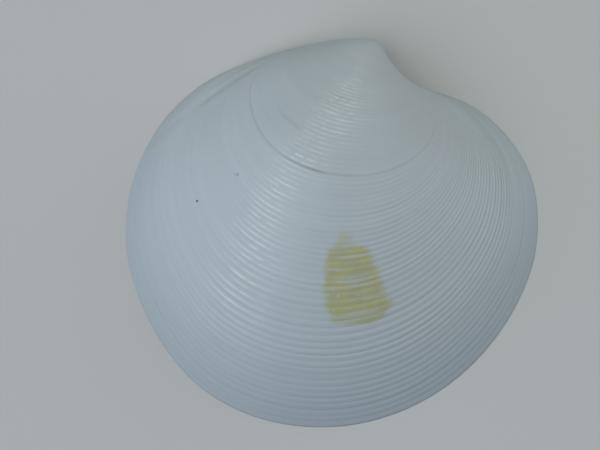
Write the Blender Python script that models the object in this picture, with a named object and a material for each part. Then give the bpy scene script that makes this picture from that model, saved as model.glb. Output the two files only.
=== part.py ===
# Right valve of Dosinia incisa, a bivalve sea shell, as one closed solid.
# The valve lies on its rim with the outside up. X runs along the shell from back to front,
# Y from the lower edge up to the beak, and Z up from the surface that the rim rests on.
# Lengths below are millimetres, and the finished mesh is turned into metres at the end.

import bmesh
import bpy
import numpy as np
from mathutils import Vector
from mathutils.bvhtree import BVHTree

METRES_PER_MM = 0.001

# The rim as the valve's outline, from below the beak round the front, the lower edge and the back.
RIM_POINTS = [
    (4.4, 18.0), (6.0, 17.7), (9.3, 15.8), (11.3, 15.4), (14.9, 14.1), (18.5, 11.3), (21.7, 6.3),
    (22.4, -1.2), (18.3, -11.0), (10.9, -17.9), (1.7, -21.1), (-9.3, -19.8), (-13.3, -17.7),
    (-20.3, -8.9), (-22.5, -1.0), (-20.3, 9.3), (-17.4, 13.5), (-10.8, 18.0), (-9.4, 18.5),
    (-3.3, 18.8), (1.4, 18.3),
]
RIM_STEPS_PER_POINT = 24

# Growth. Each growth line is the rim made smaller about the beak and turned about it.
BEAK = (4.9, 19.3, 0.45)
PAUSE_SIZE = 0.45
TURN_AT_PAUSE = (-0.704, 0.086, -0.238)
TURN_POWER = 0.224

# Ridges. The solid has one ridge for each two of the real shell.
RIDGES_OUTSIDE_PAUSE = 22
RIDGES_INSIDE_PAUSE = 13
SMALLEST_RIDGE_SIZE = 0.04
CREST_PLACE = 0.42
RIDGE_HEIGHT = 0.16
PAUSE_GROOVE_DEPTH = 0.2
TIP_SIZES = (0.026, 0.013)

# Smooth stretches of the rim beside the beak, as lengths along the rim where the ridges start and
# where they stand at full height: the lunule in front, and the escutcheon behind.
LUNULE_REACH = (3.5, 9.0)
ESCUTCHEON_REACH = (13.0, 19.0)

# Mesh density. Segments round the rim lie closer together near the beak.
OUTER_SEGMENTS = 64
UMBO_SEGMENTS = 32
CROWDING = 0.55
SMOOTH_LINES = 90
NORMAL_STEP = 0.002

# Wall, flat rim and hollow. The wall grows from its edge thickness to its full thickness.
WALL = 1.25
EDGE_WALL = 0.62
WALL_RISE_LENGTH = 6.0
RIM_WIDTH = 0.8
EDGE_RING_STEPS = (0.5, 1.3)
HOLLOW_CENTRE = (-0.5, -2.0)
HOLLOW_RING_SHARES = (1.0, 0.86, 0.72, 0.57, 0.42, 0.27, 0.13)
FAR_ABOVE = 60.0
CLOSE_ENOUGH = 0.001
MOST_TRIES = 40

# Hinge plate. It lies a little above the plane of the rim, and is broadest below the beak.
HINGE_HEIGHT = 0.8
HINGE_BREADTH = 4.4
HINGE_BACK_X = -9.5
HINGE_BROADEST_X = 3.0
HINGE_FRONT_X = 10.0
HINGE_STEP = 0.25
HINGE_WALL_RUN = 0.9
HINGE_END_SHARPNESS = 4.0

# Cardinal teeth: direction in degrees, length and width. They spread from one point, hang down
# from inside the plate and end just above the plane of the rim.
TEETH = ((-58.0, 3.0, 0.55), (-92.0, 3.4, 0.95), (-146.0, 4.6, 0.8))
TEETH_MEET = (4.4, 17.2)
TOOTH_START = 0.7
TOOTH_ROOT_HEIGHT = 2.0
TOOTH_TIP_HEIGHT = 0.06
TOOTH_TIP_SHARE = 0.55
TOOTH_NARROW_END = 0.6

SHELL_COLOUR = (0.50, 0.53, 0.53, 1.0)
SHELL_ROUGHNESS = 0.45


def clear_scene():
    """Remove every object that the file holds."""
    for thing in list(bpy.data.objects):
        bpy.data.objects.remove(thing, do_unlink=True)


def smooth_step(value, low, high):
    """Rise from 0 at low to 1 at high without a kink."""
    share = np.clip((value - low) / (high - low), 0.0, 1.0)
    return share * share * (3.0 - 2.0 * share)


def rim_curve():
    """Closed smooth curve through the rim points, as cubic stretches with shared tangents."""
    points = np.array(RIM_POINTS)
    before = np.roll(points, 1, axis=0)
    after = np.roll(points, -1, axis=0)
    length_in = np.linalg.norm(points - before, axis=1)[:, None]
    length_out = np.linalg.norm(after - points, axis=1)[:, None]
    tangent = (points - before) / length_in * length_out + (after - points) / length_out * length_in
    tangent = tangent / (length_in + length_out)
    handle_out = points + tangent * length_out / 3.0
    handle_in = np.roll(points - tangent * length_in / 3.0, -1, axis=0)
    share = np.linspace(0.0, 1.0, RIM_STEPS_PER_POINT, endpoint=False)[None, :, None]
    rest = 1.0 - share
    curve = (
        rest ** 3 * points[:, None]
        + 3.0 * rest ** 2 * share * handle_out[:, None]
        + 3.0 * rest * share ** 2 * handle_in[:, None]
        + share ** 3 * after[:, None]
    )
    return curve.reshape(-1, 2)


def rim_samples(curve, count):
    """Points along the closed rim, crowded near its start below the beak."""
    closed = np.vstack([curve, curve[:1]])
    length = np.concatenate([[0.0], np.cumsum(np.linalg.norm(np.diff(closed, axis=0), axis=1))])
    turn = np.arange(count) / count
    place = turn - CROWDING * np.sin(2.0 * np.pi * turn) / (2.0 * np.pi)
    place = place * length[-1]
    return np.column_stack([np.interp(place, length, closed[:, axis]) for axis in range(2)])


def turn_matrix(vector):
    """Matrix that turns about a vector by the vector's length in radians."""
    angle = np.linalg.norm(vector)
    if angle == 0.0:
        return np.eye(3)
    x, y, z = np.array(vector) / angle
    cross = np.array([[0.0, -z, y], [z, 0.0, -x], [-y, x, 0.0]])
    return np.eye(3) + np.sin(angle) * cross + (1.0 - np.cos(angle)) * cross @ cross


def growth_line(rim, size):
    """The rim of the young shell when it had this size, as a share of the grown shell."""
    beak = np.array(BEAK)
    spokes = np.column_stack([rim, np.zeros(len(rim))]) - beak
    turned = (1.0 - size ** TURN_POWER) / (1.0 - PAUSE_SIZE ** TURN_POWER)
    matrix = turn_matrix(np.array(TURN_AT_PAUSE) * turned)
    return beak + size * spokes @ matrix.T


def surface_normals(rim, size):
    """Unit vectors that point out of the smooth shell along one growth line."""
    line = growth_line(rim, size)
    along = np.roll(line, -1, axis=0) - np.roll(line, 1, axis=0)
    older = growth_line(rim, min(size * (1.0 + NORMAL_STEP), 1.0))
    younger = growth_line(rim, size * (1.0 - NORMAL_STEP))
    normal = np.cross(along, older - younger)
    return normal / np.linalg.norm(normal, axis=1)[:, None]


def ridged_line(rim, size, lift):
    """A growth line moved out along the normals, except in the lunule and the escutcheon."""
    steps = np.linalg.norm(np.roll(rim, -1, axis=0) - rim, axis=1)
    ahead = np.concatenate([[0.0], np.cumsum(steps)[:-1]])
    behind = steps.sum() - ahead
    share = smooth_step(ahead, *LUNULE_REACH) * smooth_step(behind, *ESCUTCHEON_REACH)
    lifts = lift * share * size ** 0.5
    return growth_line(rim, size) + surface_normals(rim, size) * lifts[:, None]


def ridge_sizes(first, last, count):
    """Size and lift of the crest and the groove of each ridge, closer together on the young shell."""
    marks = []
    root_step = (first ** 0.5 - last ** 0.5) / count
    for ridge in range(count):
        crest = (first ** 0.5 - root_step * (ridge + CREST_PLACE)) ** 2
        groove = (first ** 0.5 - root_step * (ridge + 1.0)) ** 2
        marks.append((crest, RIDGE_HEIGHT / 2.0))
        marks.append((groove, -RIDGE_HEIGHT / 2.0))
    return marks


def outer_lines(curve):
    """All growth lines of the outside, from the rim to just short of the beak."""
    rim = rim_samples(curve, OUTER_SEGMENTS)
    umbo_rim = rim_samples(curve, UMBO_SEGMENTS)
    lines = [growth_line(rim, 1.0)]
    outside = ridge_sizes(1.0, PAUSE_SIZE, RIDGES_OUTSIDE_PAUSE)
    outside[-1] = (PAUSE_SIZE, -PAUSE_GROOVE_DEPTH)
    for size, lift in outside:
        lines.append(ridged_line(rim, size, lift))
    for size, lift in ridge_sizes(PAUSE_SIZE, SMALLEST_RIDGE_SIZE, RIDGES_INSIDE_PAUSE):
        lines.append(ridged_line(umbo_rim, size, lift))
    for size in TIP_SIZES:
        lines.append(growth_line(umbo_rim, size))
    return lines


def add_ring(mesh, points):
    """Add a closed ring of vertices."""
    return [mesh.verts.new(point) for point in points]


def bridge(mesh, ring_a, ring_b):
    """Join two rings by triangles. The second has as many vertices as the first, or half."""
    ratio = len(ring_a) // len(ring_b)
    count = len(ring_a)
    for index in range(count):
        following = (index + 1) % count
        near = ring_b[index // ratio]
        far = ring_b[(following // ratio) % len(ring_b)]
        mesh.faces.new((ring_a[index], ring_a[following], near))
        if far is not near:
            mesh.faces.new((ring_a[following], far, near))


def fan(mesh, ring, point):
    """Close a ring with triangles that meet in one vertex."""
    tip = mesh.verts.new(point)
    for index, vertex in enumerate(ring):
        mesh.faces.new((vertex, ring[(index + 1) % len(ring)], tip))


def inward_normals(points):
    """Unit vectors in the rim plane that point into the outline, which runs clockwise from above."""
    along = np.roll(points, -1, axis=0) - np.roll(points, 1, axis=0)
    normal = np.column_stack([along[:, 1], -along[:, 0]])
    return normal / np.linalg.norm(normal, axis=1)[:, None]


def smooth_outside(curve):
    """Search tree of the outside without its ridges, for measuring the wall."""
    rim = rim_samples(curve, OUTER_SEGMENTS * 2)
    lines = [growth_line(rim, size) for size in np.linspace(1.0, TIP_SIZES[0], SMOOTH_LINES)]
    points = [Vector(point) for line in lines for point in line]
    count = len(rim)
    faces = []
    for row in range(len(lines) - 1):
        for index in range(count):
            following = (index + 1) % count
            a = row * count + index
            b = row * count + following
            faces.append((a, b, b + count, a + count))
    return BVHTree.FromPolygons(points, faces)


def hollow_height(outside, x, y, wall):
    """Height of the hollow's ceiling at x, y, where the wall under the outside is this thick."""
    hit = outside.ray_cast(Vector((x, y, FAR_ABOVE)), Vector((0.0, 0.0, -1.0)))[0]
    height = hit.z - wall
    for _ in range(MOST_TRIES):
        distance = outside.find_nearest(Vector((x, y, height)))[3]
        if distance > wall - CLOSE_ENOUGH:
            break
        height -= wall - distance
    return max(height, 0.0)


def wall_at(distance):
    """Wall thickness at a distance inside the rim, thinner towards the edge."""
    return EDGE_WALL + (WALL - EDGE_WALL) * smooth_step(distance, 0.0, WALL_RISE_LENGTH)


def hinge_share(x, y):
    """How fully a rim point belongs to the hinge: 1 below the beak, 0 at its ends and beyond."""
    if y < HOLLOW_CENTRE[1]:
        return 0.0
    rise_from_back = smooth_step(x, HINGE_BACK_X, HINGE_BROADEST_X)
    rise_from_front = smooth_step(x, HINGE_FRONT_X, HINGE_BROADEST_X)
    return float(rise_from_back * rise_from_front)


def inner_spoke(outside, edge, inward):
    """Points from the rim's inner edge to near the middle of the hollow, along one segment."""
    share = hinge_share(*edge)
    sharp_share = min(share * HINGE_END_SHARPNESS, 1.0)
    first_step = EDGE_RING_STEPS[0] + (HINGE_STEP - EDGE_RING_STEPS[0]) * sharp_share
    second_step = max(HINGE_BREADTH * share, EDGE_RING_STEPS[1])
    places = [edge + inward * first_step, edge + inward * second_step]
    centre = np.array(HOLLOW_CENTRE)
    foot = edge + inward * (second_step + HINGE_WALL_RUN)
    for ring_share in HOLLOW_RING_SHARES:
        places.append(centre + (foot - centre) * ring_share)
    spoke = [(edge[0], edge[1], 0.0)]
    for number, (x, y) in enumerate(places):
        distance = np.linalg.norm((x, y) - edge)
        height = hollow_height(outside, x, y, wall_at(distance))
        if number < len(EDGE_RING_STEPS) and height > HINGE_HEIGHT:
            height += (HINGE_HEIGHT - height) * sharp_share
        spoke.append((x, y, height))
    return spoke


def inner_rings(curve):
    """Rings of the flat rim, the hinge plate and the hollow, from the rim inwards."""
    outside = smooth_outside(curve)
    rim = rim_samples(curve, OUTER_SEGMENTS)
    inward = inward_normals(rim)
    edges = rim + inward * RIM_WIDTH
    spokes = [inner_spoke(outside, edge, normal) for edge, normal in zip(edges, inward)]
    return list(zip(*spokes))


def tooth_corners(degrees, length, width, height, share):
    """Four corners of one level of a tooth, drawn in towards its middle by the share."""
    angle = np.radians(degrees)
    along = np.array((np.cos(angle), np.sin(angle)))
    across = np.array((-along[1], along[0])) * width / 2.0 * share
    pull = (1.0 - share) * width / 2.0
    near = np.array(TEETH_MEET) + along * (TOOTH_START + pull)
    far = np.array(TEETH_MEET) + along * (TOOTH_START + length - pull)
    corners = (
        near - across * TOOTH_NARROW_END,
        far - across,
        far + across,
        near + across * TOOTH_NARROW_END,
    )
    return [(x, y, height) for x, y in corners]


def add_teeth(mesh):
    """Three tapered cardinal teeth that spread from below the beak, for joining to the plate."""
    for degrees, length, width in TEETH:
        upper = add_ring(mesh, tooth_corners(degrees, length, width, TOOTH_ROOT_HEIGHT, 1.0))
        lower = add_ring(mesh, tooth_corners(degrees, length, width, TOOTH_TIP_HEIGHT, TOOTH_TIP_SHARE))
        mesh.faces.new(upper)
        mesh.faces.new(lower)
        bridge(mesh, upper, lower)


def object_from(mesh, name):
    """Turn a bmesh in millimetres into an object in metres with its faces pointing out."""
    bmesh.ops.recalc_face_normals(mesh, faces=mesh.faces)
    bmesh.ops.scale(mesh, vec=Vector((METRES_PER_MM,) * 3), verts=mesh.verts)
    data = bpy.data.meshes.new(name)
    mesh.to_mesh(data)
    mesh.free()
    thing = bpy.data.objects.new(name, data)
    bpy.context.scene.collection.objects.link(thing)
    return thing


def build_valve():
    """The whole valve: ridged outside, flat rim, hinge plate and hollow in one closed mesh."""
    curve = rim_curve()
    mesh = bmesh.new()
    lines = outer_lines(curve)
    rings = [add_ring(mesh, line) for line in lines]
    for ring_a, ring_b in zip(rings, rings[1:]):
        bridge(mesh, ring_a, ring_b)
    fan(mesh, rings[-1], BEAK)
    previous = rings[0]
    for points in inner_rings(curve):
        ring = add_ring(mesh, points)
        bridge(mesh, previous, ring)
        previous = ring
    middle = np.mean([vertex.co for vertex in previous], axis=0)
    fan(mesh, previous, middle)
    return object_from(mesh, "valve")


def join_teeth(valve):
    """Join the teeth to the hinge plate and keep the result as the valve's mesh."""
    mesh = bmesh.new()
    add_teeth(mesh)
    teeth = object_from(mesh, "teeth")
    union = valve.modifiers.new("teeth", "BOOLEAN")
    union.operation = "UNION"
    union.solver = "EXACT"
    union.object = teeth
    bpy.context.view_layer.update()
    evaluated = valve.evaluated_get(bpy.context.evaluated_depsgraph_get())
    joined = bpy.data.meshes.new_from_object(evaluated)
    valve.modifiers.clear()
    valve.data = joined
    bpy.data.objects.remove(teeth, do_unlink=True)


def centre_on_origin(thing):
    """Move the mesh so that its box is centred over the origin and rests on Z = 0."""
    corners = np.array([vertex.co for vertex in thing.data.vertices])
    low = corners.min(axis=0)
    high = corners.max(axis=0)
    shift = Vector((-(low[0] + high[0]) / 2.0, -(low[1] + high[1]) / 2.0, -low[2]))
    for vertex in thing.data.vertices:
        vertex.co += shift


def shell_material():
    """Plain pale grey-white shell."""
    material = bpy.data.materials.new("shell")
    material.use_nodes = True
    shader = material.node_tree.nodes["Principled BSDF"]
    shader.inputs["Base Color"].default_value = SHELL_COLOUR
    shader.inputs["Roughness"].default_value = SHELL_ROUGHNESS
    shader.inputs["Metallic"].default_value = 0.0
    return material


def main():
    """Build the valve."""
    clear_scene()
    valve = build_valve()
    join_teeth(valve)
    centre_on_origin(valve)
    for face in valve.data.polygons:
        face.use_smooth = True
    valve.data.materials.clear()
    valve.data.materials.append(shell_material())


main()
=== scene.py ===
import math
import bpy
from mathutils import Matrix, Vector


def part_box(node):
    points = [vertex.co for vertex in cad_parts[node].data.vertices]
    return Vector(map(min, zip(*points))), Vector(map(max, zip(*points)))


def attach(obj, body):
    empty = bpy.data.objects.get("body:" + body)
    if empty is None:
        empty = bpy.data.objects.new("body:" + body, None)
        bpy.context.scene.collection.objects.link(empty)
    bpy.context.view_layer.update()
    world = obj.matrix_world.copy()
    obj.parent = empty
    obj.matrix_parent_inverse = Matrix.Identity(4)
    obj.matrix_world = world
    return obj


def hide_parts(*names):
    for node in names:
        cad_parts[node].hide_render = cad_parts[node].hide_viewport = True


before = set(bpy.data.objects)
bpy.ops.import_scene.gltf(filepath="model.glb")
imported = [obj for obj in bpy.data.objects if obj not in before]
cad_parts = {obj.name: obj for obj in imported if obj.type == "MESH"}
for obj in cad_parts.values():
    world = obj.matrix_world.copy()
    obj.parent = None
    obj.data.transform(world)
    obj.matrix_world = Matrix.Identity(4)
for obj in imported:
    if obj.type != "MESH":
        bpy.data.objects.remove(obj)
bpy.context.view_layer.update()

from types import SimpleNamespace

import bmesh
import bpy
import numpy as np
from mathutils import Vector
from mathutils.bvhtree import BVHTree

# A right valve of Dosinia incisa, outside up, seen from straight above. Geometry Nodes grow the
# outside from the rim by the rule of the CAD solid, with each ridge modelled. The underside is
# built in code on the same rim. Lengths are in millimetres unless a comment says otherwise.

MM = 0.001

# The rim, from below the beak round the front, the lower edge and the back.
RIM_POINTS = [
    (4.4, 18.0), (6.0, 17.7), (9.3, 15.8), (11.3, 15.4), (14.9, 14.1), (18.5, 11.3), (21.7, 6.3),
    (22.4, -1.2), (18.3, -11.0), (10.9, -17.9), (1.7, -21.1), (-9.3, -19.8), (-13.3, -17.7),
    (-20.3, -8.9), (-22.5, -1.0), (-20.3, 9.3), (-17.4, 13.5), (-10.8, 18.0), (-9.4, 18.5),
    (-3.3, 18.8), (1.4, 18.3),
]
RIM_RESOLUTION = 24

# Growth rule, as in the CAD. A size is the share of the grown shell that a growth line bounds.
BEAK = (4.9, 19.3, 0.45)
PAUSE_SIZE = 0.45
TURN_AT_PAUSE = (-0.704, 0.086, -0.238)
TURN_POWER = 0.224

# Ridges and mesh density. A ridge has four growth lines: its groove, a shoulder, its crest and
# a second shoulder. Places run from 0 to 1 along the rim, in the order of its points.
SEGMENTS = 176
CROWDING = 0.55
RIDGES = 112
PAUSE_RIDGE = 42
LINES_PER_RIDGE = 4
CREST_PLACE = 0.52
LINE_PLACES = (0.0, 0.2, CREST_PLACE, 0.84)
LINE_HEIGHTS = (-1.0, 0.3, 0.5, 0.22)
RIDGE_HEIGHT = 0.09
RELIEF_BY_PLACE = (
    (0.02, 0.0), (0.07, 0.6), (0.12, 1.0), (0.17, 0.95), (0.22, 0.52), (0.27, 0.48), (0.31, 0.55),
    (0.37, 0.76), (0.42, 0.74), (0.45, 0.62), (0.50, 0.44), (0.55, 0.36), (0.60, 0.27), (0.74, 0.20),
    (0.80, 0.12), (0.86, 0.08), (0.91, 0.0),
)
RELIEF_BY_SIZE = (
    (0.03, 0.0), (0.15, 0.07), (0.40, 0.12), (0.46, 0.28), (0.58, 0.52), (0.64, 0.74), (0.72, 1.0),
    (1.0, 0.98),
)
SMOOTH_RIDGES = 56
SMOOTH_PAUSE_RIDGE = 21
LIP_HEIGHT = 0.05

# From here on, a pair named STEP holds where a change starts and where it is full, and a pair
# named BELL holds the middle of a rise and its width.

# How the ridges differ: their spacing wanders and swells. A ridge's depth is the least one, what
# a few deep ridges have on top, and what patches along it add or take.
WANDER_SCALE = 1.6
WANDER_PER_RIDGE = 0.035
WANDER_STEP = (0.0, 4.0)
UNEVEN_PER_RIDGE = 0.4
SWELL_RISE_STEP = (0.28, 0.53)
SWELL_FALL_STEP = (1.0, 0.57)
LEAST_RIDGE = 0.7
DEEP_RIDGE = 0.9
DEEP_RIDGE_RARITY = 3.0
PATCHY_RIDGE = 1.1
PATCH_SCALE = 1.5
PATCH_PER_RIDGE = 1.37
RELIEF_START_STEP = (0.0, 0.4)

# On the right the relief starts at a smaller size, and the margin is calm but for two soft
# pause lines, each given by its size and strength. Depths, and the heights of the fold and the
# knob below, are in ridge heights.
AHEAD_SHARE = 0.07
AHEAD_BELL = (0.23, 0.06)
CALM_SIZE_STEP = (0.86, 0.9)
CALM_PLACE_STEP = (0.29, 0.235)
CALM_LOSS = 0.85
MARGIN_PAUSES = ((0.94, 1.0), (0.875, 0.6))
MARGIN_PAUSE_WIDTH = 0.006
MARGIN_PAUSE_DEPTH = 0.5
PAUSE_DEPTH = 0.12

# The crease along the hinge side with the fold beside it, and the swelling of the beak.
CREASE_PLACE = 0.785
CREASE_WIDTH = 0.006
CREASE_DEPTH = 1.3
CREASE_BY_SIZE = ((0.45, 0.2), (0.53, 1.0), (0.71, 1.0), (0.76, 0.3), (0.92, 0.4), (1.0, 0.0))
FOLD_BELL = (CREASE_PLACE + 0.016, 0.009)
FOLD_HEIGHT = 0.9
KNOB_SIZE_BELL = (0.07, 0.04)
KNOB_PLACE_BELL = (0.36, 0.16)
KNOB_HEIGHT = 3.1

# Underside: the flat rim, the wall under the outside, the hinge plate and its teeth. Steps are
# points along a spoke, which runs from the rim's inner edge to the middle of the hollow.
UNDERSIDE_LAYERS = ("inside", "scar", "pallial")
LIP_WIDTH = 0.06
RIM_WIDTH = 0.8
WALL = 1.25
EDGE_WALL = 0.62
WALL_RISE_LENGTH = 6.0
EDGE_RISE = 1.25
HINGE_RISE = 0.3
HOLLOW_CENTRE = (-0.5, -2.0)
RISE_STEPS = 4
PLATE_STEPS = 5
WALL_STEPS = 4
HOLLOW_STEPS = 34
EASED_WITHIN = 8
EASED_TIMES = 40
HINGE_HEIGHT = 0.8
HINGE_BREADTH = 4.4
LEAST_BREADTH = 1.3
HINGE_BACK_X = -9.5
HINGE_BROADEST_X = 3.0
HINGE_FRONT_X = 10.0
HINGE_WALL_RUN = 0.9
HINGE_END_SHARPNESS = 4.0
FAR_ABOVE = 60.0
CLOSE_ENOUGH = 0.001
MOST_TRIES = 40
TEETH_MEET = (4.4, 17.2)
TOOTH_ROOT_HEIGHT = 2.0
TOOTH_TIP_HEIGHT = 0.06
# Direction in degrees, start, length, width, and how deep the groove along its top is.
TEETH = (
    (-58.0, 0.7, 3.0, 0.55, 0.0),
    (-92.0, 0.7, 3.4, 0.95, 0.12),
    (-146.0, 0.7, 4.6, 0.8, 0.3),
)
# Section across a tooth: shares of its half width, and of how far it falls back from its top. In
# the middle, the tooth's own groove takes that second share's place.
TOOTH_SECTION = ((-1.0, 0.4), (-0.9, 0.12), (-0.55, 0.0), (0.0, 0.0), (0.55, 0.0), (0.9, 0.12), (1.0, 0.4))
# Along a tooth: it is narrower at its start, and rounded in width and height at both ends.
TOOTH_STATIONS = (0.0, 0.04, 0.12, 0.25, 0.4, 0.55, 0.7, 0.84, 0.93, 0.98, 1.0)
TOOTH_SQUARENESS = 6
TOOTH_START_WIDTH = 0.6
TOOTH_END_WIDTH = 0.35
TOOTH_END_FALL = 0.75
SHARP_TURN = math.radians(86.0)

# Muscle scars: middle, half length, half width and direction in degrees.
SCARS = (
    ((14.6, 5.6), (4.0, 1.7), -62.0),
    ((-14.2, 6.4), (3.6, 2.4), 62.0),
)
SCAR_DEPTH = 0.07
SCAR_STEP = (1.15, 0.85)
PALLIAL_LINE = (
    (16.2, 1.6), (16.0, -2.5), (13.8, -8.0), (9.0, -13.2), (3.0, -15.6), (-3.5, -15.6), (-9.0, -13.4),
    (-11.6, -11.4), (-8.6, -6.6), (-5.0, -1.6), (-3.4, 1.2), (-3.2, 2.4), (-4.4, 2.8), (-6.4, 2.2),
    (-10.6, -0.6), (-14.8, -2.4), (-15.6, 1.6), (-15.4, 3.8),
)
PALLIAL_DEPTH = 0.05
PALLIAL_WIDTH = 0.4

# Camera: straight above, so that 411 pixels of the photo are 45 mm. What it sees is in metres.
PHOTO_WIDTH = 600
MM_PER_PIXEL = 45.0 / 411.0
CAMERA_HEIGHT = 300.0
CAMERA_X = -3.464
CAMERA_Y = 0.94
SENSOR = 36.0
NEAREST_SEEN = 0.01
FARTHEST_SEEN = 20.0


class Value:
    """A node's output. Arithmetic on it adds Math nodes."""

    def __init__(self, nodes, socket):
        self.nodes = nodes
        self.socket = socket

    def __add__(self, other):
        return self.nodes.math("ADD", self, other)

    __radd__ = __add__

    def __sub__(self, other):
        return self.nodes.math("SUBTRACT", self, other)

    def __rsub__(self, other):
        return self.nodes.math("SUBTRACT", other, self)

    def __mul__(self, other):
        return self.nodes.math("MULTIPLY", self, other)

    __rmul__ = __mul__

    def __truediv__(self, other):
        return self.nodes.math("DIVIDE", self, other)

    def __pow__(self, other):
        return self.nodes.math("POWER", self, other)


class Nodes:
    """Adds nodes to one tree: a type, its settings, and the values or links of its sockets."""

    def __init__(self, tree):
        self.tree = tree

    def add(self, kind, settings=None, inputs=None, output=0):
        node = self.tree.nodes.new(kind)
        for name, value in (settings or {}).items():
            if name == "stops":
                elements = node.color_ramp.elements
                while len(elements) < len(value):
                    elements.new(1.0)
                for element, (place, shade) in zip(elements, value):
                    element.position = place
                    element.color = (shade, shade, shade, 1.0)
            elif name == "choices":
                while len(node.index_switch_items) < value:
                    node.index_switch_items.new()
            else:
                setattr(node, name, value)
        for name, value in (inputs or {}).items():
            if isinstance(value, Value):
                self.tree.links.new(value.socket, node.inputs[name])
            else:
                node.inputs[name].default_value = value
        return Value(self, node.outputs[output])

    def math(self, operation, first, second=0.0):
        return self.add("ShaderNodeMath", {"operation": operation}, {0: first, 1: second})

    def vector(self, operation, first, second, output=0):
        return self.add("ShaderNodeVectorMath", {"operation": operation}, {0: first, 1: second}, output)

    def scaled(self, vector, factor):
        return self.add("ShaderNodeVectorMath", {"operation": "SCALE"}, {0: vector, "Scale": factor})

    def combine(self, x, y, z):
        return self.add("ShaderNodeCombineXYZ", None, {0: x, 1: y, 2: z})

    def step(self, value, low, high):
        """Rises smoothly from 0 at low to 1 at high, or falls where high is the smaller."""
        return self.add(
            "ShaderNodeMapRange",
            {"interpolation_type": "SMOOTHSTEP"},
            {"Value": value, "From Min": low, "From Max": high},
        )

    def bell(self, value, middle, width):
        """A bell of height 1 round the middle."""
        offset = (value - middle) / width
        return self.math("POWER", math.e, 0.0 - offset * offset)

    def stops(self, value, stops):
        """Number that runs through the stops, each a place and a number."""
        return self.add("ShaderNodeValToRGB", {"stops": stops}, {"Fac": value})

    def noise(self, vector, scale, detail=2.0, roughness=0.5):
        return self.add(
            "ShaderNodeTexNoise",
            {"noise_dimensions": "3D"},
            {"Vector": vector, "Scale": scale, "Detail": detail, "Roughness": roughness},
        )

    def mix(self, factor, first, second, blend="MIX"):
        return self.add(
            "ShaderNodeMix",
            {"data_type": "RGBA", "blend_type": blend},
            {0: factor, 6: first, 7: second},
            output=2,
        )

    def tint(self, colour, share, tint):
        """The colour, multiplied by the tint as far as the share goes."""
        return self.mix(share, colour, tint, "MULTIPLY")

    def streaks(self, ridge, place, per_ridge, per_place, seed, detail):
        """Noise drawn out along the ridges."""
        return self.noise(self.combine(ridge * per_ridge, place * per_place, seed), 1.0, detail)

    def attribute(self, name):
        return self.add("ShaderNodeAttribute", {"attribute_name": name}, output="Fac")


def rim_curve_object():
    """The rim as a closed Bezier curve whose handles give the CAD's outline."""
    points = np.array(RIM_POINTS) * MM
    before = np.roll(points, 1, axis=0)
    after = np.roll(points, -1, axis=0)
    length_in = np.linalg.norm(points - before, axis=1)[:, None]
    length_out = np.linalg.norm(after - points, axis=1)[:, None]
    tangent = (points - before) / length_in * length_out + (after - points) / length_out * length_in
    tangent = tangent / (length_in + length_out)
    data = bpy.data.curves.new("rim", "CURVE")
    data.dimensions = "3D"
    spline = data.splines.new("BEZIER")
    spline.bezier_points.add(len(points) - 1)
    spline.use_cyclic_u = True
    spline.resolution_u = RIM_RESOLUTION
    for knot, point, direction, back, ahead in zip(
        spline.bezier_points, points, tangent, length_in, length_out
    ):
        knot.handle_left_type = "FREE"
        knot.handle_right_type = "FREE"
        knot.co = (*point, 0.0)
        knot.handle_left = (*(point - direction * back / 3.0), 0.0)
        knot.handle_right = (*(point + direction * ahead / 3.0), 0.0)
    curve = bpy.data.objects.new("rim", data)
    bpy.context.scene.collection.objects.link(curve)
    return curve


GROWTH_INPUTS = {
    "Segments": ("NodeSocketInt", SEGMENTS),
    "Ridges": ("NodeSocketInt", RIDGES),
    "Ridge height": ("NodeSocketFloat", RIDGE_HEIGHT * MM),
    "Beak": ("NodeSocketVector", tuple(value * MM for value in BEAK)),
    "Turn axis": ("NodeSocketVector", TURN_AT_PAUSE),
    "Turn at pause": ("NodeSocketFloat", math.sqrt(sum(value * value for value in TURN_AT_PAUSE))),
    "Pause size": ("NodeSocketFloat", PAUSE_SIZE),
    "Pause ridge": ("NodeSocketInt", PAUSE_RIDGE),
    "Turn power": ("NodeSocketFloat", TURN_POWER),
    "Crowding": ("NodeSocketFloat", CROWDING),
    "Wobble": ("NodeSocketFloat", 0.3),
    "Unevenness": ("NodeSocketFloat", 0.6),
    "Swell": ("NodeSocketFloat", 0.024),
    "Seed": ("NodeSocketFloat", 3.0),
}


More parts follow.
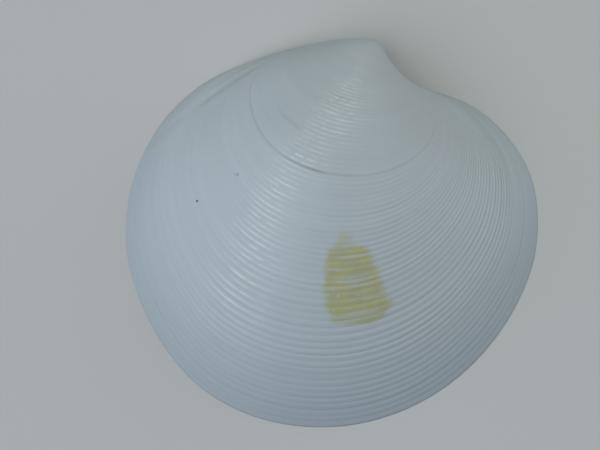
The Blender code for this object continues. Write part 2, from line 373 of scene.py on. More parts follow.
def growth_tree(material):
    """Geometry Nodes tree that grows the outside of the valve from its rim curve."""
    tree = bpy.data.node_groups.new("grow_valve", "GeometryNodeTree")
    tree.interface.new_socket("Rim", in_out="INPUT", socket_type="NodeSocketGeometry")
    for name, (kind, _) in GROWTH_INPUTS.items():
        tree.interface.new_socket(name, in_out="INPUT", socket_type=kind)
    tree.interface.new_socket("Valve", in_out="OUTPUT", socket_type="NodeSocketGeometry")
    make = Nodes(tree)
    entry = tree.nodes.new("NodeGroupInput")
    given = {socket.name: Value(make, socket) for socket in entry.outputs if socket.name}
    segments = given["Segments"]
    tube = make.add(
        "GeometryNodeMeshCylinder",
        {"fill_type": "NONE"},
        {"Vertices": segments, "Side Segments": given["Ridges"] * LINES_PER_RIDGE},
    )
    index = make.add("GeometryNodeInputIndex")
    line = make.math("FLOOR", (index + 0.5) / segments)
    turn = (index - line * segments) / segments
    place = turn - given["Crowding"] * make.math("SINE", turn * math.tau) / math.tau
    around = (make.math("COSINE", place * math.tau), make.math("SINE", place * math.tau))

    ridge = make.math("FLOOR", (line + 0.5) / LINES_PER_RIDGE)
    step = line - ridge * LINES_PER_RIDGE
    line_place, line_height = (
        make.add(
            "GeometryNodeIndexSwitch",
            {"data_type": "FLOAT", "choices": LINES_PER_RIDGE},
            {"Index": step, **{str(number): value for number, value in enumerate(choices)}},
        )
        for choices in (LINE_PLACES, LINE_HEIGHTS)
    )
    ridge_place = ridge + line_place
    size = growth_size(make, given, ridge_place, around)
    grown = grown_point(make, given, place, size)
    smooth = make.add("GeometryNodeSetPosition", None, {"Geometry": tube, "Position": grown})

    calm = make.step(size, *CALM_SIZE_STEP) * make.step(place, *CALM_PLACE_STEP)
    relief = line_height * ridge_depth(make, given, ridge, around) * relief_share(make, size, place, calm)
    at_pause = make.math("COMPARE", ridge, given["Pause ridge"]) * make.math("COMPARE", step, 0.0)
    pauses = sum(
        strength * make.bell(size, middle, MARGIN_PAUSE_WIDTH) for middle, strength in MARGIN_PAUSES
    )
    lift = relief - crease_depth(make, size, place) - at_pause * PAUSE_DEPTH
    lift = lift - pauses * calm * MARGIN_PAUSE_DEPTH + knob_height(make, size, place)
    lift = lift * given["Ridge height"] * make.step(ridge_place, *RELIEF_START_STEP)
    valve = make.add(
        "GeometryNodeSetPosition",
        None,
        {"Geometry": smooth, "Offset": make.scaled(make.add("GeometryNodeInputNormal"), lift)},
    )
    kept = {"size": size, "place": place, "ridge": ridge_place, "relief": relief}
    for name, value in kept.items():
        valve = make.add(
            "GeometryNodeStoreNamedAttribute",
            {"data_type": "FLOAT", "domain": "POINT"},
            {"Geometry": valve, "Name": name, "Value": value},
        )
    valve = make.add("GeometryNodeRealizeInstances", None, {"Geometry": valve})
    valve = make.add("GeometryNodeSetMaterial", None, {"Geometry": valve, "Material": material})
    leave = tree.nodes.new("NodeGroupOutput")
    tree.links.new(valve.socket, leave.inputs["Valve"])
    return tree


def growth_size(make, given, ridge_place, around):
    """Size of the growth line at a ridge number, whose spacing narrows towards the beak and wanders."""
    slow = make.combine(*around, ridge_place * WANDER_PER_RIDGE + given["Seed"])
    share = ridge_place / given["Pause ridge"]
    swell = given["Swell"] * given["Pause ridge"]
    swell = swell * make.step(share, *SWELL_RISE_STEP) * make.step(share, *SWELL_FALL_STEP)
    uneven = make.noise(make.combine(ridge_place * UNEVEN_PER_RIDGE, given["Seed"], 0.0), 1.0) - 0.5
    wobble = (make.noise(slow, WANDER_SCALE) - 0.5) * given["Wobble"] + uneven * given["Unevenness"]
    drift = wobble * make.step(ridge_place, *WANDER_STEP) + swell
    size_root_step = (1.0 - given["Pause size"] ** 0.5) / given["Pause ridge"]
    root = 1.0 - (ridge_place + drift) * size_root_step
    return root * root


def grown_point(make, given, place, size):
    """The rim point at a place, made smaller about the beak and turned about it by the growth rule."""
    rim_point = make.add(
        "GeometryNodeSampleCurve",
        {"mode": "FACTOR", "use_all_curves": True},
        {"Curves": given["Rim"], "Factor": place},
        output="Position",
    )
    turned = (1.0 - size ** given["Turn power"]) / (1.0 - given["Pause size"] ** given["Turn power"])
    turned_spoke = make.add(
        "ShaderNodeVectorRotate",
        {"rotation_type": "AXIS_ANGLE"},
        {
            "Vector": make.vector("SUBTRACT", rim_point, given["Beak"]),
            "Axis": given["Turn axis"],
            "Angle": turned * given["Turn at pause"],
        },
    )
    return make.vector("ADD", make.scaled(turned_spoke, size), given["Beak"])


def ridge_depth(make, given, ridge, around):
    """How deep each ridge is against the usual one. A few are deep, and all vary along their length."""
    own = make.add("ShaderNodeTexWhiteNoise", {"noise_dimensions": "1D"}, {"W": ridge + given["Seed"]})
    patches = make.noise(make.combine(*around, ridge * PATCH_PER_RIDGE + given["Seed"]), PATCH_SCALE)
    return LEAST_RIDGE + DEEP_RIDGE * own ** DEEP_RIDGE_RARITY + PATCHY_RIDGE * (patches - 0.5)


def relief_share(make, size, place, calm):
    """How strong the ridges are at a size and place of the valve."""
    ahead = size + AHEAD_SHARE * make.bell(place, *AHEAD_BELL)
    return make.stops(place, RELIEF_BY_PLACE) * make.stops(ahead, RELIEF_BY_SIZE) * (1.0 - CALM_LOSS * calm)


def crease_depth(make, size, place):
    """Depth of the crease along the hinge side, less the height of the fold beside it."""
    crease = CREASE_DEPTH * make.bell(place, CREASE_PLACE, CREASE_WIDTH)
    return (crease - FOLD_HEIGHT * make.bell(place, *FOLD_BELL)) * make.stops(size, CREASE_BY_SIZE)


def knob_height(make, size, place):
    """Height of the swelling just below the tip of the beak."""
    return KNOB_HEIGHT * make.bell(size, *KNOB_SIZE_BELL) * make.bell(place, *KNOB_PLACE_BELL)


def grown_mesh(tree, changes=None):
    """The outside of the valve as a plain mesh, line after line from the rim to the beak."""
    curve = rim_curve_object()
    modifier = curve.modifiers.new("growth", "NODES")
    modifier.node_group = tree
    for item in tree.interface.items_tree:
        if item.in_out == "INPUT" and item.name in GROWTH_INPUTS:
            modifier[item.identifier] = (changes or {}).get(item.name, GROWTH_INPUTS[item.name][1])
    bpy.context.view_layer.update()
    evaluated = curve.evaluated_get(bpy.context.evaluated_depsgraph_get())
    mesh = bpy.data.meshes.new_from_object(evaluated)
    bpy.data.objects.remove(curve, do_unlink=True)
    return mesh


def smooth_step(value, low, high):
    """Rises smoothly from 0 at low to 1 at high, or falls where high is the smaller."""
    share = min(max((value - low) / (high - low), 0.0), 1.0)
    return share * share * (3.0 - 2.0 * share)


def hollow_height(outside, x, y, wall):
    """Height of the hollow's ceiling at x, y, where the wall under the outside is this thick."""
    hit = outside.ray_cast(Vector((x, y, FAR_ABOVE)), Vector((0.0, 0.0, -1.0)))[0]
    height = hit.z - wall
    for _ in range(MOST_TRIES):
        distance = outside.find_nearest(Vector((x, y, height)))[3]
        if distance > wall - CLOSE_ENOUGH:
            break
        height -= wall - distance
    return max(height, 0.0)


def hinge_share(x, y):
    """How fully a rim point belongs to the hinge: 1 below the beak, 0 at its ends and beyond."""
    if y < HOLLOW_CENTRE[1]:
        return 0.0
    return smooth_step(x, HINGE_BACK_X, HINGE_BROADEST_X) * smooth_step(x, HINGE_FRONT_X, HINGE_BROADEST_X)


def scar_share(x, y):
    """1 inside a muscle scar, falling to 0 just outside it."""
    share = 0.0
    for middle, (half_length, half_width), degrees in SCARS:
        angle = math.radians(degrees)
        along = (x - middle[0]) * math.cos(angle) + (y - middle[1]) * math.sin(angle)
        across = (y - middle[1]) * math.cos(angle) - (x - middle[0]) * math.sin(angle)
        reach = math.hypot(along / half_length, across / half_width)
        share = max(share, smooth_step(reach, *SCAR_STEP))
    return share


def pallial_share(x, y):
    """1 on the pallial line, where the mantle was attached, falling to 0 beside it."""
    line = np.array(PALLIAL_LINE)
    start = line[:-1]
    run = line[1:] - start
    share = np.clip(((np.array((x, y)) - start) * run).sum(axis=1) / (run * run).sum(axis=1), 0.0, 1.0)
    nearest = np.linalg.norm(start + run * share[:, None] - (x, y), axis=1).min()
    return math.exp(-(nearest / PALLIAL_WIDTH) ** 2)


def underside_spoke(outside, edge, inward):
    """Points from the flat rim's inner edge to near the middle of the hollow, along one segment."""
    share = hinge_share(*edge)
    sharp = min(share * HINGE_END_SHARPNESS, 1.0)
    rise = EDGE_RISE + (HINGE_RISE - EDGE_RISE) * sharp
    plate_end = max(HINGE_BREADTH * share, LEAST_BREADTH)
    wall_end = plate_end + HINGE_WALL_RUN
    steps = np.concatenate([
        np.linspace(0.0, rise, RISE_STEPS + 1),
        np.linspace(rise, plate_end, PLATE_STEPS + 1)[1:],
        np.linspace(plate_end, wall_end, WALL_STEPS + 1)[1:],
    ])
    places = [edge + inward * step for step in steps]
    foot = places[-1]
    for number in range(1, HOLLOW_STEPS):
        places.append(foot + (np.array(HOLLOW_CENTRE) - foot) * number / HOLLOW_STEPS)
    spoke = []
    for x, y in places:
        distance = np.linalg.norm((x, y) - edge)
        wall = EDGE_WALL + (WALL - EDGE_WALL) * smooth_step(distance, 0.0, WALL_RISE_LENGTH)
        height = hollow_height(outside, x, y, wall)
        if height > HINGE_HEIGHT:
            plate = sharp * smooth_step(distance, wall_end, plate_end)
            height += (HINGE_HEIGHT - height) * plate
        scar = scar_share(x, y)
        pallial = pallial_share(x, y)
        spoke.append((x, y, height * smooth_step(distance, 0.0, rise), scar, pallial))
    return spoke


def eased(spokes):
    """Ease the fold under the beak out of the hollow, then press in the scars and the pallial line."""
    spokes = np.array(spokes)
    heights = spokes[:, :, 2]
    step = np.arange(heights.shape[1]) - RISE_STEPS - PLATE_STEPS
    share = np.clip(step / EASED_WITHIN, 0.0, 1.0) / 2.0
    for _ in range(EASED_TIMES):
        beside = (np.roll(heights, 1, axis=0) + np.roll(heights, -1, axis=0)) / 2.0
        heights += (beside - heights) * share
    heights += spokes[:, :, 3] * SCAR_DEPTH + spokes[:, :, 4] * PALLIAL_DEPTH
    return spokes


def inward_normals(points):
    """Unit vectors in the rim plane that point into the outline, which runs clockwise from above."""
    along = np.roll(points, -1, axis=0) - np.roll(points, 1, axis=0)
    normal = np.column_stack([along[:, 1], -along[:, 0]])
    return normal / np.linalg.norm(normal, axis=1)[:, None]


def add_underside(mesh, rim_ring, outside):
    """Close the valve below with the flat rim, the hinge plate and the hollow."""
    inside_layer, scar_layer, pallial_layer = (mesh.verts.layers.float[name] for name in UNDERSIDE_LAYERS)
    rim = np.array([vertex.co[:2] for vertex in rim_ring]) / MM
    inward = inward_normals(rim)
    edges = rim + inward * RIM_WIDTH
    spokes = eased([underside_spoke(outside, edge, normal) for edge, normal in zip(edges, inward)])
    lip = [(*point, 0.0, 0.0, 0.0) for point in rim + inward * LIP_WIDTH]
    previous = rim_ring
    for points in [lip, *spokes.swapaxes(0, 1)]:
        ring = []
        for x, y, z, scar, pallial in points:
            vertex = mesh.verts.new((x * MM, y * MM, z * MM))
            vertex[inside_layer] = 1.0
            vertex[scar_layer] = scar
            vertex[pallial_layer] = pallial
            ring.append(vertex)
        bridge(mesh, previous, ring)
        previous = ring
    fan(mesh, previous, np.mean([vertex.co for vertex in previous], axis=0))


def bridge(mesh, ring_a, ring_b):
    """Join two closed rings of vertices by quads."""
    for index in range(len(ring_a)):
        after = (index + 1) % len(ring_a)
        mesh.faces.new((ring_a[index], ring_a[after], ring_b[after], ring_b[index])).smooth = True


def fan(mesh, ring, point):
    """Close a ring with triangles that meet in one vertex, with the ring's own looks."""
    tip = mesh.verts.new(point, ring[0])
    for index, vertex in enumerate(ring):
        mesh.faces.new((vertex, ring[(index + 1) % len(ring)], tip)).smooth = True


def add_tooth(mesh, degrees, start, length, width, groove):
    """One cardinal tooth as a rounded bar rooted in the hinge plate, tapered towards the beak."""
    inside_layer = mesh.verts.layers.float["inside"]
    angle = math.radians(degrees)
    along = np.array((math.cos(angle), math.sin(angle)))
    across = np.array((-along[1], along[0])) * width / 2.0
    drop = HINGE_HEIGHT - TOOTH_TIP_HEIGHT
    rings = []
    for station in TOOTH_STATIONS:
        fullness = math.sqrt(max(1.0 - (2.0 * station - 1.0) ** TOOTH_SQUARENESS, 0.0))
        taper = TOOTH_START_WIDTH + (1.0 - TOOTH_START_WIDTH) * station
        spread = taper * (TOOTH_END_WIDTH + (1.0 - TOOTH_END_WIDTH) * fullness)
        middle = np.array(TEETH_MEET) + along * (start + length * station)
        ring = []
        for side, dip in TOOTH_SECTION:
            share = dip if side else groove
            share += (1.0 - share) * TOOTH_END_FALL * (1.0 - fullness)
            height = TOOTH_TIP_HEIGHT + drop * share
            ring.append((*(middle + across * spread * side), height))
        for side in (1.0, -1.0):
            ring.append((*(middle + across * spread * side), TOOTH_ROOT_HEIGHT))
        vertices = [mesh.verts.new(Vector(point) * MM) for point in ring]
        for vertex in vertices:
            vertex[inside_layer] = 1.0
        rings.append(vertices)
    for ring_a, ring_b in zip(rings, rings[1:]):
        bridge(mesh, ring_a, ring_b)
    mesh.faces.new(rings[0])
    mesh.faces.new(rings[-1])


def mesh_object(name, mesh):
    """Put a finished bmesh into an object of its own, with its faces pointing outwards."""
    bmesh.ops.recalc_face_normals(mesh, faces=mesh.faces)
    data = bpy.data.meshes.new(name)
    mesh.to_mesh(data)
    mesh.free()
    thing = bpy.data.objects.new(name, data)
    bpy.context.scene.collection.objects.link(thing)
    return thing


def join_teeth(valve, material):
    """Fuse the teeth into the hinge plate."""
    mesh = bmesh.new()
    mesh.verts.layers.float.new("inside")
    for tooth in TEETH:
        add_tooth(mesh, *tooth)
    teeth = mesh_object("teeth", mesh)
    teeth.data.materials.append(material)
    union = valve.modifiers.new("teeth", "BOOLEAN")
    union.operation = "UNION"
    union.solver = "MANIFOLD"
    union.object = teeth
    bpy.context.view_layer.update()
    joined = bpy.data.meshes.new_from_object(valve.evaluated_get(bpy.context.evaluated_depsgraph_get()))
    valve.modifiers.clear()
    valve.data = joined
    bpy.data.objects.remove(teeth, do_unlink=True)
    finish_joint(joined)


def finish_joint(data):
    """Where the teeth meet the plate, the new vertices look like the inside and the edges are crisp."""
    mesh = bmesh.new()
    mesh.from_mesh(data)
    inside_layer = mesh.verts.layers.float["inside"]
    size_layer = mesh.verts.layers.float["size"]
    for vertex in mesh.verts:
        if vertex[size_layer] == 0.0:
            vertex[inside_layer] = 1.0
    for edge in mesh.edges:
        below = min(vertex[inside_layer] for vertex in edge.verts) == 1.0
        edge.smooth = not below or edge.calc_face_angle(0.0) < SHARP_TURN
    mesh.to_mesh(data)
    mesh.free()


def centre_in_box(valve):
    """Move the mesh so that its box has the middle and the foot of the CAD solid's box."""
    corners = np.empty(len(valve.data.vertices) * 3)
    valve.data.vertices.foreach_get("co", corners)
    corners = corners.reshape(-1, 3)
    low, high = (np.array(corner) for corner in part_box("valve"))
    shift = (low + high - corners.min(axis=0) - corners.max(axis=0)) / 2.0
    shift[2] = low[2] - corners[:, 2].min()
    valve.data.vertices.foreach_set("co", (corners + shift).ravel())
    valve.data.update()


# Colours and finishes. A tint multiplies the colour that it lies on. Streaks are noise drawn out
# along the ridges: how fast it changes from ridge to ridge and along the rim, its seed and detail.
SHELL_ATTRIBUTES = ("size", "place", "ridge", "relief", "inside", "scar", "pallial")
OUTSIDE_PALE = (0.57, 0.625, 0.66, 1.0)
OUTSIDE_DEEP = (0.54, 0.59, 0.62, 1.0)
BAND_SCALE = 34.0
BAND_STEP = (0.35, 0.65)
BAND_SHARE = 0.6
CLOUD_SCALE = 140.0
GROOVE_TINT = (0.84, 0.86, 0.86, 1.0)
GROOVE_STEP = (0.04, -0.55)
GROOVE_STRENGTH = 0.5

# The hinge side: painted shade on the escutcheon, in the crease and on the dorsal slope, and a
# painted highlight on the fold beside the crease.
ESCUTCHEON_SHADE_TINT = (0.93, 0.96, 0.90, 1.0)
ESCUTCHEON_START_STEP = (CREASE_PLACE - 0.004, CREASE_PLACE + 0.004)
ESCUTCHEON_END_STEP = (0.97, 0.93)
ESCUTCHEON_STRENGTH = 0.5
CREASE_SHADE_TINT = (0.84, 0.86, 0.84, 1.0)
CREASE_BELL = (CREASE_PLACE, 0.007)
CREASE_STREAKS = (0.5, 40.0, 8.0, 3.0)
CREASE_STEP = (0.25, 0.6)
FOLD_HIGHLIGHT = (0.64, 0.69, 0.71, 1.0)
FOLD_HIGHLIGHT_BELL = (CREASE_PLACE + 0.017, 0.008)
FOLD_HIGHLIGHT_STRENGTH = 0.6
DORSAL_SHADE_TINT = (0.88, 0.885, 0.87, 1.0)
DORSAL_PLACE_AT_BEAK = 0.41
DORSAL_PLACE_BY_SIZE = 0.92
DORSAL_LAST_PLACE = 0.76
DORSAL_EDGE_STEP = (-0.1, 0.1)
DORSAL_SIZE_STEP = (0.8, 0.5)
DORSAL_END_STEP = (0.98, 0.88)
DORSAL_EVEN = 0.5
DORSAL_BANDED = 0.8

# The brown line of the growth pause, and younger lines: size, first and last place, strength.
# A younger line fades in from beyond its ends to within them.
PAUSE_TINT = (0.62, 0.60, 0.53, 1.0)
PAUSE_BELL = (PAUSE_RIDGE + 0.05, 0.25)
PAUSE_STRENGTH = (
    (0.0, 0.15), (0.15, 0.2), (0.25, 0.28), (0.40, 0.22), (0.455, 0.4), (0.48, 1.0), (0.51, 0.7),
    (0.55, 0.36), (0.62, 0.36), (0.74, 0.3), (0.80, 0.0),
)
YOUNG_LINES = ((0.385, 0.522, 0.593, 0.25), (0.290, 0.425, 0.484, 0.25))
YOUNG_LINE_WIDTH = 0.004
YOUNG_LINE_BEYOND = 0.015
YOUNG_LINE_WITHIN = 0.02

# Broad tones: painted shade towards the rim, and darker beside the lunule and on the umbo.
RIM_SHADE_TINT = (0.86, 0.88, 0.90, 1.0)
EDGE_STEP = (0.78, 1.0)
LUNULE_TINT = (0.93, 0.935, 0.89, 1.0)
LUNULE_BELL = (0.09, 0.05)
LUNULE_STEP = (0.7, 0.9)
UMBO_TINT = (0.935, 0.935, 0.92, 1.0)
UMBO_STEP = (0.46, 0.40)
UMBO_EVEN = 0.45
UMBO_MIDDLE_STEP = (0.2, 0.28)
UMBO_MIDDLE_BELL = (0.52, 0.09)

# The tan stain, with a place for its left and right edge at each size, and a size for its foot at
# each place. Its head fades in by two steps. Specks: middle, radius and tint. The steps of a speck
# and of a gap in the stain are in shares of the radius.
STAIN_TINT = (0.94, 0.84, 0.42, 1.0)
STAIN_DEEP = (0.86, 0.79, 0.46, 1.0)
STAIN_LEFT = (
    (0.555, 0.431), (0.575, 0.436), (0.589, 0.440), (0.596, 0.449), (0.61, 0.451), (0.64, 0.453),
    (0.67, 0.4535), (0.70, 0.452), (0.73, 0.448), (0.80, 0.446),
)
STAIN_RIGHT = (
    (0.555, 0.424), (0.575, 0.419), (0.588, 0.414), (0.594, 0.401), (0.605, 0.396), (0.636, 0.3895),
    (0.688, 0.3855), (0.728, 0.383), (0.736, 0.377), (0.745, 0.383), (0.80, 0.388),
)
STAIN_FOOT = (
    (0.375, 0.742), (0.383, 0.746), (0.393, 0.757), (0.405, 0.762), (0.417, 0.757), (0.433, 0.752),
    (0.448, 0.747),
)
STAIN_LEFT_STEP = (-0.005, 0.005)
STAIN_RIGHT_STEP = (-0.007, 0.007)
STAIN_FOOT_STEP = (-0.008, 0.010)
STAIN_HEAD_STEPS = ((0.548, 0.575), (0.588, 0.598))
STAIN_RAGGED = 0.014
RAGGED_STREAKS = (1.1, 30.0, 5.0, 3.0)
STRIPE_STREAKS = (0.9, 18.0, 9.0, 3.0)
STRIPE_STEP = (0.36, 0.5)
STRIPE_SHARE = 0.45
NET_STREAKS = (2.3, 150.0, 4.0, 2.0)
NET_STEP = (0.5, 0.7)
NET_SHARE = 0.3
STAINED_GROOVE_STEP = (0.3, -0.46)
STAINED_GROOVE = 0.4
OLIVE_STREAKS = (0.4, 40.0, 1.0, 2.0)
OLIVE_STEP = (0.4, 0.6)
STAIN_GAPS = (((0.55, -6.6, 9.55), 0.17),)
GAP_STEP = (0.4, 1.4)
SPECKS = (
    ((-10.05, 6.28, 9.70), 0.2, (0.66, 0.67, 0.64, 1.0)),
    ((-10.35, 6.32, 9.60), 0.22, (0.86, 0.86, 0.82, 1.0)),
    ((-14.48, 3.50, 7.07), 0.16, (0.04, 0.05, 0.06, 1.0)),
)
SPECK_STEP = (1.2, 0.4)

# The polish of the crests, a thin coat in a band from the beak to the lower edge. The band is
# placed where the photo shows bright dashes. The tint is a painted highlight: it lightens the
# colour under the coat, which gives about half of their brightness, and the coat's IOR is above
# a real shell's.
PAINTED_HIGHLIGHT_TINT = (1.2, 1.2, 1.2, 1.0)
POLISH_MIDDLE = (
    (0.10, 0.43), (0.20, 0.444), (0.30, 0.461), (0.39, 0.48), (0.46, 0.51), (0.54, 0.543), (0.66, 0.55),
    (0.78, 0.556), (1.0, 0.56),
)
POLISH_WIDTH = ((0.10, 0.09), (0.35, 0.06), (0.46, 0.035), (0.56, 0.032), (0.70, 0.042), (0.84, 0.03))
POLISH_START_STEP = (0.07, 0.15)
POLISH_LOSS_STEP = (0.42, 0.5)
POLISH_LOSS = 0.25
CREST_WIDTH = 0.14
CREST_WIDENING = 0.12
CREST_WIDE_STEP = (0.44, 0.25)
WORN_STREAKS = (3.1, 60.0, 2.0, 2.0)
WORN_STEP = (0.3, 0.55)
LEAST_POLISH = 0.5
COAT_ROUGHNESS = 0.17
COAT_IOR = 2.3

# The porcelain inside, and the roughness and the fine texture of both sides.
INSIDE_PALE = (0.78, 0.78, 0.76, 1.0)
INSIDE_DEEP = (0.72, 0.73, 0.72, 1.0)
SCAR_TINT = (0.88, 0.89, 0.88, 1.0)
SCAR_STRENGTH = 0.7
PALLIAL_STRENGTH = 0.5
OUTSIDE_ROUGHNESS = 0.42
GROOVE_ROUGHNESS = 0.1
CLOUD_ROUGHNESS = 0.1
INSIDE_ROUGHNESS = 0.26
SCAR_GLOSS = 0.08
STRIAE_STREAKS = (5.0, 60.0, 0.0, 2.0)
STRIAE_STEP = (0.2, 0.5)
GRAIN_SCALE = 9000.0
GRAIN_SHARE = 0.3
TEXTURE_STRENGTH = 0.25
TEXTURE_DEPTH = 0.03


def shell_material():
    """Satin grey-white shell with a brown growth line, a tan stain, specks and a porcelain inside."""
    material = bpy.data.materials.new("shell")
    material.use_nodes = True
    make = Nodes(material.node_tree)
    shader = material.node_tree.nodes["Principled BSDF"]
    # What the functions below read of a point of the surface.
    shell = SimpleNamespace(**{name: make.attribute(name) for name in SHELL_ATTRIBUTES})
    shell.spot = make.add("ShaderNodeTexCoord", output="Object")
    shell.bands = make.noise(make.combine(shell.size, 0.0, 0.0), BAND_SCALE, detail=3.0)
    shell.clouds = make.noise(shell.spot, CLOUD_SCALE, detail=3.0)
    shell.groove = make.step(shell.relief, *GROOVE_STEP)

    outside = plain_outside(make, shell)
    for dress in (with_hinge_side, with_growth_lines, with_broad_tones, with_stain, with_specks):
        outside = dress(make, shell, outside)
    coat_and_highlight = polish_share(make, shell)
    # Painted highlight: the colour is made lighter under the coat, in the band of dashes.
    outside = make.tint(outside, coat_and_highlight, PAINTED_HIGHLIGHT_TINT)
    looks = {
        "Base Color": make.mix(shell.inside, outside, inside_colour(make, shell)),
        "Roughness": shell_roughness(make, shell),
        "Coat Weight": coat_and_highlight,
        "Normal": shell_texture(make, shell),
    }
    for name, value in looks.items():
        material.node_tree.links.new(value.socket, shader.inputs[name])
    shader.inputs["Coat Roughness"].default_value = COAT_ROUGHNESS
    shader.inputs["Coat IOR"].default_value = COAT_IOR
    return material


def plain_outside(make, shell):
    """Grey-white in soft bands and clouds, darker in the grooves."""
    pale = make.step(shell.bands, *BAND_STEP) * BAND_SHARE + shell.clouds * (1.0 - BAND_SHARE)
    colour = make.mix(pale, OUTSIDE_DEEP, OUTSIDE_PALE)
    return make.tint(colour, shell.groove * GROOVE_STRENGTH, GROOVE_TINT)


def with_hinge_side(make, shell, colour):
    """Painted shade on the escutcheon, in the crease and on the slope behind the umbo, and a painted
    highlight on the fold.
    """
    place = shell.place
    # Painted shade on the escutcheon, behind the crease.
    behind = make.step(place, *ESCUTCHEON_START_STEP) * make.step(place, *ESCUTCHEON_END_STEP)
    colour = make.tint(colour, behind * ESCUTCHEON_STRENGTH, ESCUTCHEON_SHADE_TINT)
    # Painted shade in the crease and a painted highlight on the fold beside it, broken up along the ridges.
    broken_up = make.step(make.streaks(shell.ridge, place, *CREASE_STREAKS), *CREASE_STEP)
    shown = make.stops(shell.size, CREASE_BY_SIZE) * broken_up
    colour = make.tint(colour, make.bell(place, *CREASE_BELL) * shown, CREASE_SHADE_TINT)
    colour = make.mix(make.bell(place, *FOLD_HIGHLIGHT_BELL) * shown * FOLD_HIGHLIGHT_STRENGTH, colour, FOLD_HIGHLIGHT)
    # Painted shade on the slope behind the umbo, in soft bands.
    first = shell.size * DORSAL_PLACE_BY_SIZE + DORSAL_PLACE_AT_BEAK
    dorsal_shade = make.step(place - make.math("MINIMUM", first, DORSAL_LAST_PLACE), *DORSAL_EDGE_STEP)
    dorsal_shade = dorsal_shade * make.step(shell.size, *DORSAL_SIZE_STEP) * make.step(place, *DORSAL_END_STEP)
    return make.tint(colour, dorsal_shade * (DORSAL_EVEN + shell.bands * DORSAL_BANDED), DORSAL_SHADE_TINT)


def with_growth_lines(make, shell, colour):
    """The brown line of the growth pause and the faint younger lines."""
    pause = make.bell(shell.ridge, *PAUSE_BELL) * make.stops(shell.place, PAUSE_STRENGTH)
    colour = make.tint(colour, pause, PAUSE_TINT)
    for size, first, last, strength in YOUNG_LINES:
        start = make.step(shell.place, first - YOUNG_LINE_BEYOND, first + YOUNG_LINE_WITHIN)
        reach = start * make.step(shell.place, last + YOUNG_LINE_BEYOND, last - YOUNG_LINE_WITHIN)
        line = make.bell(shell.size, size, YOUNG_LINE_WIDTH) * reach * strength
        colour = make.tint(colour, line, PAUSE_TINT)
    return colour


def with_broad_tones(make, shell, colour):
    """Painted shade towards the rim, and a little darker beside the lunule and on the umbo."""
    # Painted shade towards the rim.
    colour = make.tint(colour, make.step(shell.size, *EDGE_STEP), RIM_SHADE_TINT)
    lunule = make.bell(shell.place, *LUNULE_BELL) * make.step(shell.size, *LUNULE_STEP)
    colour = make.tint(colour, lunule, LUNULE_TINT)
    middle = make.step(shell.size, *UMBO_MIDDLE_STEP) * make.bell(shell.place, *UMBO_MIDDLE_BELL)
    umbo = make.step(shell.size, *UMBO_STEP) * (UMBO_EVEN + (1.0 - UMBO_EVEN) * middle)
    return make.tint(colour, umbo, UMBO_TINT)


def with_stain(make, shell, colour):
    """The tan stain, striped along the ridges, with olive streaks."""
    size, place, ridge = shell.size, shell.place, shell.ridge
    ragged = (make.streaks(ridge, place, *RAGGED_STREAKS) - 0.5) * STAIN_RAGGED
    left = make.step(make.stops(size, STAIN_LEFT) - place + ragged, *STAIN_LEFT_STEP)
    right = make.step(place - make.stops(size, STAIN_RIGHT) + ragged, *STAIN_RIGHT_STEP)
    foot = make.step(make.stops(place, STAIN_FOOT) - size + ragged, *STAIN_FOOT_STEP)
    head = sum(make.step(size, *ends) for ends in STAIN_HEAD_STEPS) / len(STAIN_HEAD_STEPS)
    stripes = make.step(make.streaks(ridge, place, *STRIPE_STREAKS), *STRIPE_STEP)
    net = make.step(make.streaks(ridge, place, *NET_STREAKS), *NET_STEP)
    streaky = 1.0 - STRIPE_SHARE + STRIPE_SHARE * stripes - NET_SHARE * net
    streaky = streaky + make.step(shell.relief, *STAINED_GROOVE_STEP) * STAINED_GROOVE
    stain = left * right * foot * head * make.math("MINIMUM", streaky, 1.0)
    for middle, radius in STAIN_GAPS:
        stain = stain * round_step(make, shell, middle, radius, GAP_STEP)
    olive = make.step(make.streaks(ridge, place, *OLIVE_STREAKS), *OLIVE_STEP)
    return make.tint(colour, stain, make.mix(olive, STAIN_TINT, STAIN_DEEP))


def with_specks(make, shell, colour):
    """The dark specks on the left."""
    for middle, radius, tint in SPECKS:
        colour = make.tint(colour, round_step(make, shell, middle, radius, SPECK_STEP), tint)
    return colour


def round_step(make, shell, middle, radius, ends):
    """0 to 1 between two distances from a point of the surface, given as shares of the radius."""
    away = make.vector("DISTANCE", shell.spot, tuple(value * MM for value in middle), output="Value")
    return make.step(away, *(radius * share * MM for share in ends))


def polish_share(make, shell):
    """How polished the shell is, which also places the painted highlight: worn dashes on the crests, in a
    band down from the beak.
    """
    width = CREST_WIDTH + CREST_WIDENING * make.step(shell.size, *CREST_WIDE_STEP)
    crest = make.bell(make.math("FRACT", shell.ridge), CREST_PLACE, width)
    number = make.math("FLOOR", shell.ridge)
    broken_up = make.step(make.streaks(number, shell.place, *WORN_STREAKS), *WORN_STEP)
    own = make.add("ShaderNodeTexWhiteNoise", {"noise_dimensions": "1D"}, {"W": number})
    coat_and_highlight = crest * broken_up * (LEAST_POLISH + own * (1.0 - LEAST_POLISH)) * (1.0 - shell.inside)
    middle = make.stops(shell.size, POLISH_MIDDLE)
    coat_and_highlight = coat_and_highlight * make.bell(shell.place, middle, make.stops(shell.size, POLISH_WIDTH))
    loss = POLISH_LOSS * make.step(shell.size, *POLISH_LOSS_STEP)
    return coat_and_highlight * make.step(shell.size, *POLISH_START_STEP) * (1.0 - loss)


def inside_colour(make, shell):
    """Porcelain white, a little darker on the muscle scars and the pallial line."""
    porcelain = make.mix(shell.clouds, INSIDE_DEEP, INSIDE_PALE)
    porcelain = make.tint(porcelain, shell.scar * SCAR_STRENGTH, SCAR_TINT)
    return make.tint(porcelain, shell.pallial * PALLIAL_STRENGTH, SCAR_TINT)


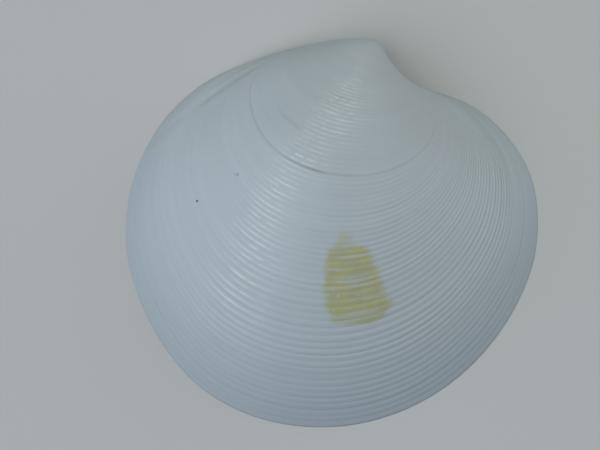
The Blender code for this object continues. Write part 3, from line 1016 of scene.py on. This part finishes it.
def shell_roughness(make, shell):
    """Satin outside, rougher in the grooves, and a glossier inside."""
    outside = OUTSIDE_ROUGHNESS + shell.groove * GROOVE_ROUGHNESS + (shell.clouds - 0.5) * CLOUD_ROUGHNESS
    inside = INSIDE_ROUGHNESS - shell.scar * SCAR_GLOSS
    return outside * (1.0 - shell.inside) + inside * shell.inside


def shell_texture(make, shell):
    """Fine striae along the ridges of the outside, and a grain on both sides."""
    striae = make.streaks(shell.ridge, shell.place, *STRIAE_STREAKS) * make.step(shell.size, *STRIAE_STEP)
    height = striae * (1.0 - shell.inside) + make.noise(shell.spot, GRAIN_SCALE, 2.0) * GRAIN_SHARE
    return make.add(
        "ShaderNodeBump",
        None,
        {"Strength": TEXTURE_STRENGTH, "Distance": TEXTURE_DEPTH * MM, "Height": height},
        output="Normal",
    )


def build_valve():
    """The whole valve as one closed piece."""
    material = shell_material()
    tree = growth_tree(material)
    smooth = grown_mesh(
        tree, {"Ridge height": 0.0, "Ridges": SMOOTH_RIDGES, "Pause ridge": SMOOTH_PAUSE_RIDGE}
    )
    outside = BVHTree.FromPolygons(
        [vertex.co / MM for vertex in smooth.vertices], [tuple(face.vertices) for face in smooth.polygons]
    )
    mesh = bmesh.new()
    mesh.from_mesh(grown_mesh(tree))
    for name in UNDERSIDE_LAYERS:
        mesh.verts.layers.float.new(name)
    for face in mesh.faces:
        face.smooth = True
    mesh.verts.ensure_lookup_table()
    vertices = list(mesh.verts)
    rim_ring = vertices[:SEGMENTS]
    fan(mesh, vertices[-SEGMENTS:], Vector(BEAK) * MM)
    add_underside(mesh, rim_ring, outside)
    for vertex in rim_ring:
        vertex.co.z = LIP_HEIGHT * MM
    valve = mesh_object("shell_valve", mesh)
    valve.data.materials.append(material)
    join_teeth(valve, material)
    centre_in_box(valve)
    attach(valve, "root")
    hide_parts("valve")
    return valve


FLOOR_COLOUR = (0.64, 0.635, 0.62, 1.0)
FLOOR_ROUGHNESS = 0.9
FLOOR_HALF = 2.0
FLOOR_DROP = 0.02


def build_floor():
    """Plain pale floor, a hair below the rim."""
    material = bpy.data.materials.new("floor")
    material.use_nodes = True
    shader = material.node_tree.nodes["Principled BSDF"]
    shader.inputs["Base Color"].default_value = FLOOR_COLOUR
    shader.inputs["Roughness"].default_value = FLOOR_ROUGHNESS
    mesh = bpy.data.meshes.new("floor")
    corners = ((-1, -1), (1, -1), (1, 1), (-1, 1))
    mesh.from_pydata(
        [(x * FLOOR_HALF, y * FLOOR_HALF, -FLOOR_DROP * MM) for x, y in corners], [], [(0, 1, 2, 3)]
    )
    mesh.materials.append(material)
    floor = bpy.data.objects.new("floor", mesh)
    bpy.context.scene.collection.objects.link(floor)


# Lights: place and size in metres, turn about the vertical in degrees or None to face the shell,
# watts and colour. The polished crests mirror the strip above, and the lights at its two ends
# carry that band of reflections on.
LIGHTS = {
    "window": ((-0.75, -0.1, 0.5), (1.1, 1.5), None, 5.1, (0.77, 0.87, 1.0)),
    "bounce": ((0.72, 0.3, 0.5), (0.9, 1.2), None, 2.7, (0.92, 0.97, 1.0)),
    "strip": ((0.07, 0.64, 0.9), (5.9, 0.7), 58.0, 8.3, (0.98, 1.0, 0.88)),
    "end": ((-1.05, -1.2, 0.9), (1.5, 0.5), 58.0, 3.6, (0.6, 0.72, 1.0)),
    "low": ((1.45, 2.85, 0.4), (0.6, 0.7), None, 1.2, (0.98, 1.0, 0.88)),
}
SKY = (0.8, 0.9, 1.0, 1.0)
SKY_STRENGTH = 0.12


def build_lights():
    """A window on the left, a bounce on the right, a strip above, lights at its ends and an even sky."""
    for name, (place, size, turn, power, colour) in LIGHTS.items():
        data = bpy.data.lights.new(name, "AREA")
        data.shape = "RECTANGLE"
        data.size = size[0]
        data.size_y = size[1]
        data.energy = power
        data.color = colour
        light = bpy.data.objects.new(name, data)
        light.location = place
        if turn is None:
            light.rotation_euler = (-Vector(place)).to_track_quat("-Z", "Y").to_euler()
        else:
            light.rotation_euler = (0.0, 0.0, math.radians(turn))
        bpy.context.scene.collection.objects.link(light)
    world = bpy.data.worlds.new("studio")
    world.use_nodes = True
    world.node_tree.nodes["Background"].inputs["Color"].default_value = SKY
    world.node_tree.nodes["Background"].inputs["Strength"].default_value = SKY_STRENGTH
    bpy.context.scene.world = world


def build_camera():
    """Camera straight above, at the photo's framing."""
    data = bpy.data.cameras.new("camera")
    data.sensor_width = SENSOR
    data.lens = SENSOR * CAMERA_HEIGHT / (PHOTO_WIDTH * MM_PER_PIXEL)
    data.clip_start = NEAREST_SEEN
    data.clip_end = FARTHEST_SEEN
    camera = bpy.data.objects.new("camera", data)
    camera.location = (CAMERA_X * MM, CAMERA_Y * MM, CAMERA_HEIGHT * MM)
    bpy.context.scene.collection.objects.link(camera)
    bpy.context.scene.camera = camera


build_camera()
build_valve()
build_floor()
build_lights()
bpy.context.scene.view_settings.view_transform = "Standard"
